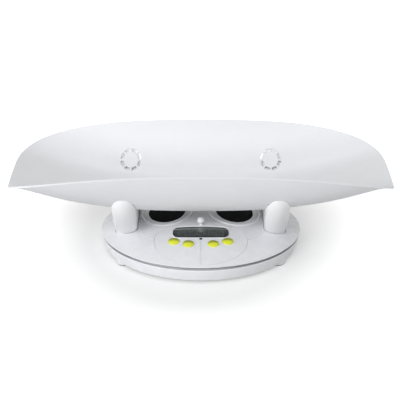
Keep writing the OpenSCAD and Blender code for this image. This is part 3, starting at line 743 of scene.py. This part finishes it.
def stadium(r, half, steps=36):
    """Rounded strip, 2 r wide, whose straight sides run along Y."""
    turn = [math.pi * i / steps for i in range(steps + 1)]
    front = [(r * math.cos(a), half + r * math.sin(a)) for a in turn]
    return front + [(-x, -y) for x, y in front]


def panel_outline(grow, steps=72):
    """Half an ellipse in front and a squarer curve behind the window."""
    points = []
    for i in range(2 * steps):
        a = math.pi * i / steps
        power = panel_square if i <= steps else 1
        reach = panel_back if i <= steps else panel_front
        points.append((
            (panel_half_x + grow) * signed_pow(math.cos(a), power),
            (reach + grow) * signed_pow(math.sin(a), power) - panel_y,
        ))
    return points


def window_outline(grow, steps=16):
    """Straight long sides, with full ends that curve in."""
    half = [window_half[k] - window_corner[k] for k in (0, 1)]
    reach = [window_corner[k] + grow for k in (0, 1)]
    points = []
    for quarter in range(4):
        sx = 1 if quarter in (0, 3) else -1
        sy = 1 if quarter < 2 else -1
        for i in range(steps + 1):
            a = math.pi / 2 * (quarter + i / steps)
            x = sx * half[0] + reach[0] * math.cos(a)
            y = sy * half[1] + reach[1] * math.sin(a) - window_y
            points.append((x, y))
    return points


def rectangle(left, right, front, back):
    """Four corners on the plan."""
    return [(left, front), (right, front), (right, back), (left, back)]


def on_dome(outline, lift):
    """An outline's points at a height over the dome's outside."""
    return [(x, y, dome_z(math.hypot(x, y)) + lift) for x, y in outline]


# ---- Tray ----


def tray_grid(columns, rows, reach=1.0, centre=0.0):
    """A sheet of cells whose places are still (u, t), crowded a little towards the rims."""
    bm = bmesh.new()
    bmesh.ops.create_grid(bm, x_segments=columns, y_segments=rows, size=1.0)
    for v in bm.verts:
        u, t = v.co.x, v.co.y
        v.co.x = centre + reach * u if reach < 1 else (4 * u - u**3) / 3
        v.co.y = (4 * t - t**3) / 3
    return bm


def tray_solid():
    """The cradle's wall, with rounded rims."""
    bm = tray_grid(120, 72)
    for v in bm.verts:
        v.co = tray_point(v.co.x, v.co.y)
    bmesh.ops.recalc_face_normals(bm, faces=bm.faces)
    upper = bm.faces[:]
    if sum(f.normal.z for f in upper) < 0:
        bmesh.ops.reverse_faces(bm, faces=upper)
    sheet = bmesh.ops.extrude_face_region(bm, geom=upper, use_keep_orig=True)
    lower = [v for v in sheet["geom"] if isinstance(v, bmesh.types.BMVert)]
    for v in lower:
        v.co -= tray_wall * tray_shade(v.co, 0.0)
    bmesh.ops.recalc_face_normals(bm, faces=bm.faces)
    return softened(bm, tray_round, segments=3, sharper=60)


def slot_cutters(side, back, steps=8):
    """Ring of slots, cut along one slanted direction so that it looks round from the front."""
    pitch = math.tau / slot_count
    cutters = []
    for k in range(slot_count):
        outline = []
        for r, order in ((ring_r, 1), (ring_r - slot_width, -1)):
            trim = math.asin(slot_rib / 2 / r)
            low, high = pitch * k + trim, pitch * (k + 1) - trim
            turn = [low + (high - low) * i / steps for i in range(steps + 1)][::order]
            outline += [(r * math.cos(a), ring_stretch * r * math.sin(a)) for a in turn]
        cutters.append(prism(outline, -slot_reach, slot_reach))
    u = ring_x / half_length
    z = tray_point(u, ring_y / half_depth(u)).z
    place = at(side * ring_x, back * ring_y, z)
    place @= Matrix.Scale(back, 4, (0, 1, 0)) @ Matrix.Rotation(math.radians(90 - slot_tilt), 4, "X")
    return moved(joined(*cutters), place)


def tray_directions(p):
    """The directions of the tray's inside and of its underside."""
    return tray_shade(p, 0.0), -tray_shade(p, tray_wall)


def make_tray():
    """The cradle with its rings of slots, and four bosses for the supports' screws."""
    rings = [slot_cutters(side, back) for side in (-1, 1) for back in (-1, 1)]
    bm = combined(tray_solid(), "DIFFERENCE", *rings)
    u = support_x / half_length
    boss_top = tray_point(u, support_screw_y / half_depth(u)).z - tray_wall / 2
    boss = [(boss_r, 0), (boss_r, -boss_h), (boss_bore_r, -boss_h), (boss_bore_r, 0)]
    bosses = []
    for side in (-1, 1):
        for back in (-1, 1):
            place = at(side * support_x, back * support_screw_y, boss_top)
            bosses.append(moved(revolved(boss, steps=32, closed=True), place))
    finished(joined(bm, *bosses), "tray_shell", "tray", "tray_white", ["tray"], shade=tray_directions)


# ---- Supports ----


def saddle(grow, low, steps=12):
    """A saddle's outside: straight at its foot, then flared out to the tray's walls.

    It ends at the height where the underside of the tray's wall is as far out as its own top.
    """
    flare_z = dome_z(math.hypot(support_x, foot_half + foot_r)) - flare_drop
    wall = [tray_below(support_x / half_length, t / 400, tray_wall) for t in range(300, 401)]
    span_z = next(p.z for p in wall if p.y >= span_half + top_r - saddle_lap)
    stations = [(low, 0.0)]
    stations += [(flare_z + (span_z - flare_z) * k / steps, k / steps) for k in range(steps + 1)]
    loops = []
    for z, f in stations:
        r = foot_r + (top_r - foot_r) * min(1, f / horn_start) + grow
        half = foot_half + (span_half - foot_half) * (1 - (1 - f) ** horn_power)
        loops.append([(x, y, z) for x, y in stadium(r, half)])
    return loops


def over_tray(side, gap):
    """The room above the tray's underside near one support, from gap below it upwards."""
    bm = tray_grid(16, 60, reach=0.1, centre=support_x / half_length)
    for v in bm.verts:
        v.co = tray_below(v.co.x, v.co.y, tray_wall + gap)
    bmesh.ops.recalc_face_normals(bm, faces=bm.faces)
    sheet = bmesh.ops.extrude_face_region(bm, geom=bm.faces[:], use_keep_orig=True)
    for v in sheet["geom"]:
        if isinstance(v, bmesh.types.BMVert):
            v.co.z = tray_rim_z + 20
    return moved(bm, Matrix.Scale(side, 4, (1, 0, 0)))


def make_support(side, name):
    """A saddle under the tray, with two screw wells and shallow pockets under the rings' slots."""
    place = at(side * support_x, 0, 0)
    well = [(0, -1), (well_r, -1), (well_r, well_depth)]
    well += [(well_bore_r, well_depth), (well_bore_r, well_end), (0, well_end)]
    screws = []
    slots = []
    for back in (-1, 1):
        screw_place = at(side * support_x, back * support_screw_y, socket_z)
        screws.append(moved(revolved(well, steps=32), screw_place))
        inner = moved(lofted(saddle(-slot_skin, socket_z)), place)
        room = over_tray(side, seat_gap + slot_sink)
        slots.append(combined(slot_cutters(side, back), "INTERSECT", room, inner))
    bm = moved(lofted(saddle(0.0, socket_z + seat_gap)), place)
    bm = combined(bm, "DIFFERENCE", over_tray(side, seat_gap), *screws, *slots)
    # The saddle takes the lighter white, painted light for its place in the tray's shade.
    finished(bm, name + "_saddle", "tray", "tray_white", [name + "_support"], painted_light_white)


# ---- Platform ----


def shell_solid():
    """The domed cover's wall, before anything is cut from it."""
    edge = cover_r - rim_t
    outer = [(edge * i / 90, dome_z(edge * i / 90)) for i in range(91)]
    drop = dome_z(edge) - rim_z
    turn = [math.pi / 2 * k / 4 for k in (1, 2, 3, 4)]
    rounding = [(edge + rim_t * math.sin(a), rim_z + drop * math.cos(a)) for a in turn]
    inner_r = cover_r - cover_wall
    inner = [(inner_r * i / 40, dome_z(inner_r * i / 40) - cover_wall) for i in range(40, -1, -1)]
    bm = revolved(outer + rounding + [(inner_r, rim_z)] + inner, steps=240)
    for v in bm.verts:
        r = math.hypot(v.co.x, v.co.y)
        if abs(v.co.z - dome_z(r)) < 0.01:
            v.co.z = skin_z(v.co.x, v.co.y)
    return bm


def mat_oval(side, grow, steps=96):
    """A mat's outline on the plan."""
    half_x, half_y = [half + grow for half in mat_half]
    turn = [math.tau * i / steps for i in range(steps)]
    return [(side * mat_x + half_x * math.cos(a), mat_y + half_y * math.sin(a)) for a in turn]


def under_dome(lift, foot):
    """Everything under the dome's outside moved by lift, down to foot."""
    edge = cover_r - 0.4
    rise = [(edge * i / 60, dome_z(edge * i / 60) + lift) for i in range(61)]
    return revolved(rise + [(edge, foot), (0, foot)], steps=192)


def above_dome(low, outline):
    """Everything inside an outline, from low over the dome's outside upwards."""
    return combined(prism(outline, 0, dome_top + 20), "DIFFERENCE", under_dome(low, -20))


def dome_layer(low, high, outline):
    """The part of the dome between two offsets, inside an outline."""
    return combined(under_dome(high, -10), "INTERSECT", above_dome(low, outline))


def style_line():
    """A cutter for the fine arc that runs from each support's foot to the control panel."""
    inner, outer = style_r - style_w / 2, style_r + style_w / 2
    low, high = dome_z(style_r) - style_depth, dome_z(style_r) + 5
    ring = revolved([(inner, low), (outer, low), (outer, high), (inner, high)], steps=240, closed=True)
    behind = prism(rectangle(-200, 200, style_back, 200), 0, 100)
    panel = prism(panel_outline(style_clear), 0, 100)
    return combined(ring, "DIFFERENCE", behind, panel)


def skin_directions(p):
    """The direction of the platform's outside at a point on it, and none at any other point."""
    return [skin_normal(p)] if abs(p.z - skin_z(p.x, p.y)) <= 0.4 else []


def make_cover():
    """The dome, open over the mats, the panel, the tape and the two sockets that hang under it."""
    sockets = []
    cuts = []
    for side in (-1, 1):
        place = at(side * support_x, 0, 0)
        outline = stadium(foot_r + socket_gap + socket_wall, foot_half)
        wall = moved(prism(outline, socket_z - socket_floor, dome_top + 5), place)
        room = moved(lofted(saddle(socket_gap, socket_z)), place)
        cuts.append(room.copy())
        block = combined(under_dome(-0.4, 0), "INTERSECT", wall)
        sockets.append(combined(block, "DIFFERENCE", room))
        cuts.append(above_dome(-mat_recess, mat_oval(side, mat_gap)))
    cuts.append(style_line())
    cuts.append(above_dome(-2 * cover_wall, panel_outline(seat_gap)))
    half_x, half_y = tape_slot_half
    cuts.append(prism(rectangle(-half_x, half_x, -ball_y - half_y, -ball_y + half_y), 20, 80))
    bm = combined(shell_solid(), "DIFFERENCE", *cuts)
    finished(bm, "platform_dome", "platform", "shell_white", ["platform_cover"], shade=skin_directions)
    finished(joined(*sockets), "platform_sockets", "platform", "shell_white")


def make_mats():
    """Two oval mats: a round one of radius 1 with a rounded rim, stretched and laid on the dome."""
    turn = [math.pi / 2 * k / 4 for k in range(5)]
    drops = [(mat_round - mat_round * math.sin(a), mat_round * math.cos(a)) for a in turn]
    profile = [(0.12 * k, mat_high) for k in range(8)]
    profile += [(1 - inwards / mat_half[0], mat_high - mat_round + up) for inwards, up in drops]
    profile += [(1, mat_low)] + [(0.12 * k, mat_low) for k in range(7, -1, -1)]
    for side, name in ((-1, "left"), (1, "right")):
        bm = revolved(profile, steps=96)
        for v in bm.verts:
            v.co.x = v.co.x * mat_half[0] + side * mat_x
            v.co.y = v.co.y * mat_half[1] + mat_y
        finished(dropped(bm), name + "_mat_rubber", "platform", "mat_black", [name + "_foot_mat"])


# ---- Control panel ----


def key_place(side, front):
    """The middle of a key, on the plane that the panel's works share."""
    plane = at(0, -key_y, dome_z(key_y)) @ Matrix.Rotation(key_tilt, 4, "X")
    return plane @ at(side, (key_y - front) / math.cos(key_tilt), 0)


def key_sag(side, front):
    """How far the dome lies under that plane at a key."""
    along = (key_y - front) / math.cos(key_tilt)
    return -(side**2 + along**2) * dome_rise / cover_r**2


def make_panel():
    """The panel's skin, open for the display, the keys and the mark, with its middle groove."""
    bm = dome_layer(seam_gap - cover_wall, 0.0, panel_outline(-panel_inset))
    cuts = [prism(window_outline(lip_width + seam_gap), 0, 100)]
    hole_r = button_r + button_gap
    for side, front in buttons.values():
        hole = revolved([(0, -15), (hole_r, -15), (hole_r, 15), (0, 15)], steps=64)
        cuts.append(moved(hole, key_place(side, front)))
    low, high = node_box("indicator_lens")
    mark = rectangle(low.x - mark_gap, high.x + mark_gap, low.y - mark_gap, high.y + mark_gap)
    cuts.append(above_dome(-mark_depth, mark))
    groove = rectangle(-groove_half, groove_half, groove_end - panel_y - panel_front, low.y - groove_gap)
    cuts.append(above_dome(-groove_depth, groove))
    bm = combined(bm, "DIFFERENCE", *cuts)
    finished(bm, "panel_skin", "platform", "shell_white", ["control_panel"], shade=skin_directions)


def make_bezel():
    """The raised lip. Its section goes by place outside the window's edge and height over the dome."""
    section = [
        (lip_width, -cover_wall), (lip_width, 0.05), (lip_width - 0.25, 0.5), (lip_width - 0.7, 0.75),
        (lip_width - 1.1, lip_h), (0.6, 0.7), (0.25, 0.4), (0.1, -0.1), (0.1, -cover_wall),
    ]
    bm = lofted([on_dome(window_outline(grow), lift) for grow, lift in section], capped=False)
    finished(bm, "display_lip", "platform", "shell_white", ["display_bezel"], crease=50)


def glass_directions(p):
    """The direction of the platform's outside over any point of the window."""
    return [skin_normal(p)]


def make_window():
    """The dark window, a little under the lip."""
    bm = dome_layer(0.1 - cover_wall, -glass_sink, window_outline(0.0))
    finished(bm, "display_window", "platform", "window_dark", ["display_lens"], shade=glass_directions)


def make_keys():
    """Four crowned caps, each with a skirt under the panel and a stem to its plunger."""
    rise = cap_crown - cap_edge
    crown_r = (button_r**2 + rise**2) / (2 * rise)
    spread = 0.96 * math.asin(button_r / crown_r)
    turn = [spread * (1 - k / 10) for k in range(11)]
    for name, (side, front) in buttons.items():
        place = key_place(side, front)
        sag = key_sag(side, front)
        skirt_r = button_r + skirt_out
        profile = [(0, sag - skirt_low), (skirt_r, sag - skirt_low), (skirt_r, sag - skirt_high)]
        profile += [(button_r, sag - skirt_high + 0.1), (button_r, sag + cap_edge - 0.5)]
        profile += [(crown_r * math.sin(a), sag + cap_crown - crown_r * (1 - math.cos(a))) for a in turn]
        cap = moved(revolved(profile, steps=64), place)
        stem_top = sag - stem_high
        stem = revolved([(0, -stem_low), (stem_r, -stem_low), (stem_r, stem_top), (0, stem_top)], steps=24)
        bm = joined(cap, moved(stem, place))
        finished(bm, "key_cap_" + name, "key_" + name, "key_green", ["button_" + name], key_paints[name])


def make_ball():
    """The tape's pull: a ball on a short waisted neck."""
    z = dome_z(ball_y) + ball_lift
    foot = dome_z(ball_y + neck_r) + neck_lift - z
    waist_r = neck_r - neck_round
    profile = [(0, foot), (waist_r, foot), (neck_r, foot + neck_round)]
    profile += [(neck_r, foot + neck_h), (waist_r, foot + neck_h + 0.2)]
    low = -math.acos(neck_r * 0.7 / ball_r)
    turn = [low + (math.pi / 2 - low) * k / 24 for k in range(25)]
    profile += [(ball_r * math.cos(a), ball_r * math.sin(a)) for a in turn]
    bm = moved(revolved(profile, steps=64), at(0, -ball_y, z))
    # The pull takes the lighter white, painted light.
    finished(bm, "pull_knob", "tape_pull", "shell_white", ["pull_ball"], painted_light_white)


# ---- Lower base ----


def base_profile():
    """The lower shell's section: its floor, its flared wall, the moat behind the gap and a lip."""
    turn = [math.pi / 2 * k / 5 for k in range(6)]
    edge = (base_foot_r - base_foot_round, base_edge_z + base_foot_round)
    rim = (base_top_r - base_top_round, gap_z - base_top_round)
    moat_r = base_top_r - base_wall
    moat_z = gap_z - moat_depth
    lip_r = inner_lip_r - inner_lip_t
    floor_z = base_floor + base_floor_t
    profile = [(0, base_floor), (inner_lip_r - 2, base_floor), (base_foot_r - 2.2, base_edge_z)]
    for a in turn:
        profile.append((edge[0] + base_foot_round * math.sin(a), edge[1] - base_foot_round * math.cos(a)))
    for a in turn:
        profile.append((rim[0] + base_top_round * math.cos(a), rim[1] + base_top_round * math.sin(a)))
    profile += [(moat_r, gap_z), (moat_r - 1, moat_z), (inner_lip_r, moat_z), (inner_lip_r, inner_lip_top)]
    profile += [(lip_r, inner_lip_top), (lip_r, floor_z), (0, floor_z)]
    return profile


def door_rails():
    """Two stepped rails that the battery door slides in."""
    low, high = node_box("battery_door")
    rail_x = high.x + rail_gap
    post = (rail_x + rail_step, rail_x + rail_step + rail_w, base_floor + 0.5)
    ledge = (rail_x, rail_x + ledge_w, door_z + ledge_t)
    rails = []
    for side in (-1, 1):
        for start, end, top in (post, ledge):
            strip = prism(rectangle(start, end, low.y, high.y), door_z, top)
            rails.append(moved(strip, Matrix.Scale(side, 4, (1, 0, 0))))
    return rails


def make_base():
    """The lower shell with its lugs over the feet, its rails, the battery bay and the cell's seat."""
    lug = [(0, lug_low), (lug_r - 0.8, lug_low), (lug_r - 0.2, lug_low + 0.3), (lug_r, lug_low + 1)]
    lug += [(lug_r, lug_top), (0, lug_top)]
    foot_well = [(0, -1), (foot_well_r, -1), (foot_well_r, foot_well_top), (0, foot_well_top)]
    screw_well = [(0, 7), (cell_head_r, 7), (cell_head_r, cell_head_top)]
    screw_well += [(cell_hole_r, cell_head_top), (cell_hole_r, 20), (0, 20)]
    low, high = node_box("battery_box")
    bay = rectangle(low.x + bay_wall, high.x - bay_wall, low.y + bay_wall, high.y - bay_wall)
    lugs = []
    wells = [prism(bay, 0, 30)]
    for sx in (-1, 1):
        for sy in (-1, 1):
            place = at(sx * foot_place[0], sy * foot_place[1], 0)
            lugs.append(moved(revolved(lug, steps=48), place))
            wells.append(moved(revolved(foot_well, steps=48), place))
    for x in cell_screw_x:
        wells.append(moved(revolved(screw_well, steps=32), at(x, 0, 0)))
    low, high = node_box("lower_spacer")
    seat = prism(rectangle(low.x, high.x, low.y, high.y), base_floor, low.z)
    bm = revolved(base_profile(), steps=288)
    bm = combined(bm, "UNION", seat, *lugs, *door_rails())
    bm = combined(bm, "DIFFERENCE", *wells)
    finished(bm, "base_shell", "platform", "shell_white", ["lower_base"], crease=28)


make_tray()
make_support(-1, "left")
make_support(1, "right")
make_cover()
make_mats()
make_panel()
make_bezel()
make_window()
make_keys()
make_ball()
make_base()

# ---- Stage, light and camera ----


def make_floor():
    """Pale floor that keeps the object's shadow and turns plain white away from it."""
    bm = bmesh.new()
    bmesh.ops.create_grid(bm, x_segments=1, y_segments=1, size=6.0)
    floor = as_object(bm, "studio_floor")
    paint = Paint("studio_white", Base_Color=(0.62, 0.62, 0.62, 1), Roughness=1.0, Specular_IOR_Level=0.0)
    x, y, _ = paint.place()
    across = (x - shadow_centre[0]) / shadow_half[0]
    along = (y - shadow_centre[1]) / shadow_half[1]
    out = (across**2 + along**2) ** 0.5
    glow = floor_glow + out.above(1.0, 0.3) * (1 - floor_glow)
    paint.shader.inputs["Emission Color"].default_value = (1, 1, 1, 1)
    paint.feed("Emission Strength", glow * paint.seen_directly())
    floor.data.materials.append(paint.material)


def make_world():
    """An even sky that lights at sky_level and shows plain white where it is looked at."""
    world = bpy.data.worlds.new("studio")
    bpy.context.scene.world = world
    sky = Nodes(world)
    background = sky.tree.nodes["Background"]
    background.inputs["Color"].default_value = (1.0, 0.995, 0.98, 1)
    strength = sky_level + sky.seen_directly() * (1 - sky_level)
    sky.tree.links.new(strength.socket, background.inputs["Strength"])


def softbox(name, place, size, power, colour=(1, 1, 1)):
    """A rectangular lamp that faces the middle of the object."""
    lamp = bpy.data.lights.new(name, "AREA")
    lamp.color = colour
    lamp.shape = "RECTANGLE"
    lamp.size, lamp.size_y = size
    lamp.energy = power
    made = bpy.data.objects.new(name, lamp)
    made.location = place
    made.rotation_euler = (lamp_target - Vector(place)).to_track_quat("-Z", "Y").to_euler()
    bpy.context.scene.collection.objects.link(made)


def make_camera():
    """The camera that was fitted to the photograph."""
    back = Vector((0, -math.cos(camera_angle), math.sin(camera_angle)))
    lens = bpy.data.cameras.new("photo_view")
    lens.sensor_width = 36
    lens.lens = 36 * camera_focus
    lens.clip_start = 0.05
    lens.clip_end = 20
    camera = bpy.data.objects.new("photo_view", lens)
    camera.location = camera_target + camera_distance * back
    camera.rotation_euler = (math.pi / 2 - camera_angle, 0, 0)
    bpy.context.scene.collection.objects.link(camera)
    bpy.context.scene.camera = camera


make_floor()
make_world()
softbox("key", (-0.45, -2.3, 1.7), (1.8, 0.9), 40, (0.97, 0.985, 1.0))
softbox("left", (-2.3, -1.5, 0.6), (1.0, 0.6), 22)
softbox("right", (2.3, -1.4, 0.6), (1.0, 0.5), 3)
softbox("rear", (0, 1.6, 2.5), (1.6, 0.8), 12)
make_camera()

bpy.context.scene.view_settings.view_transform = "Standard"
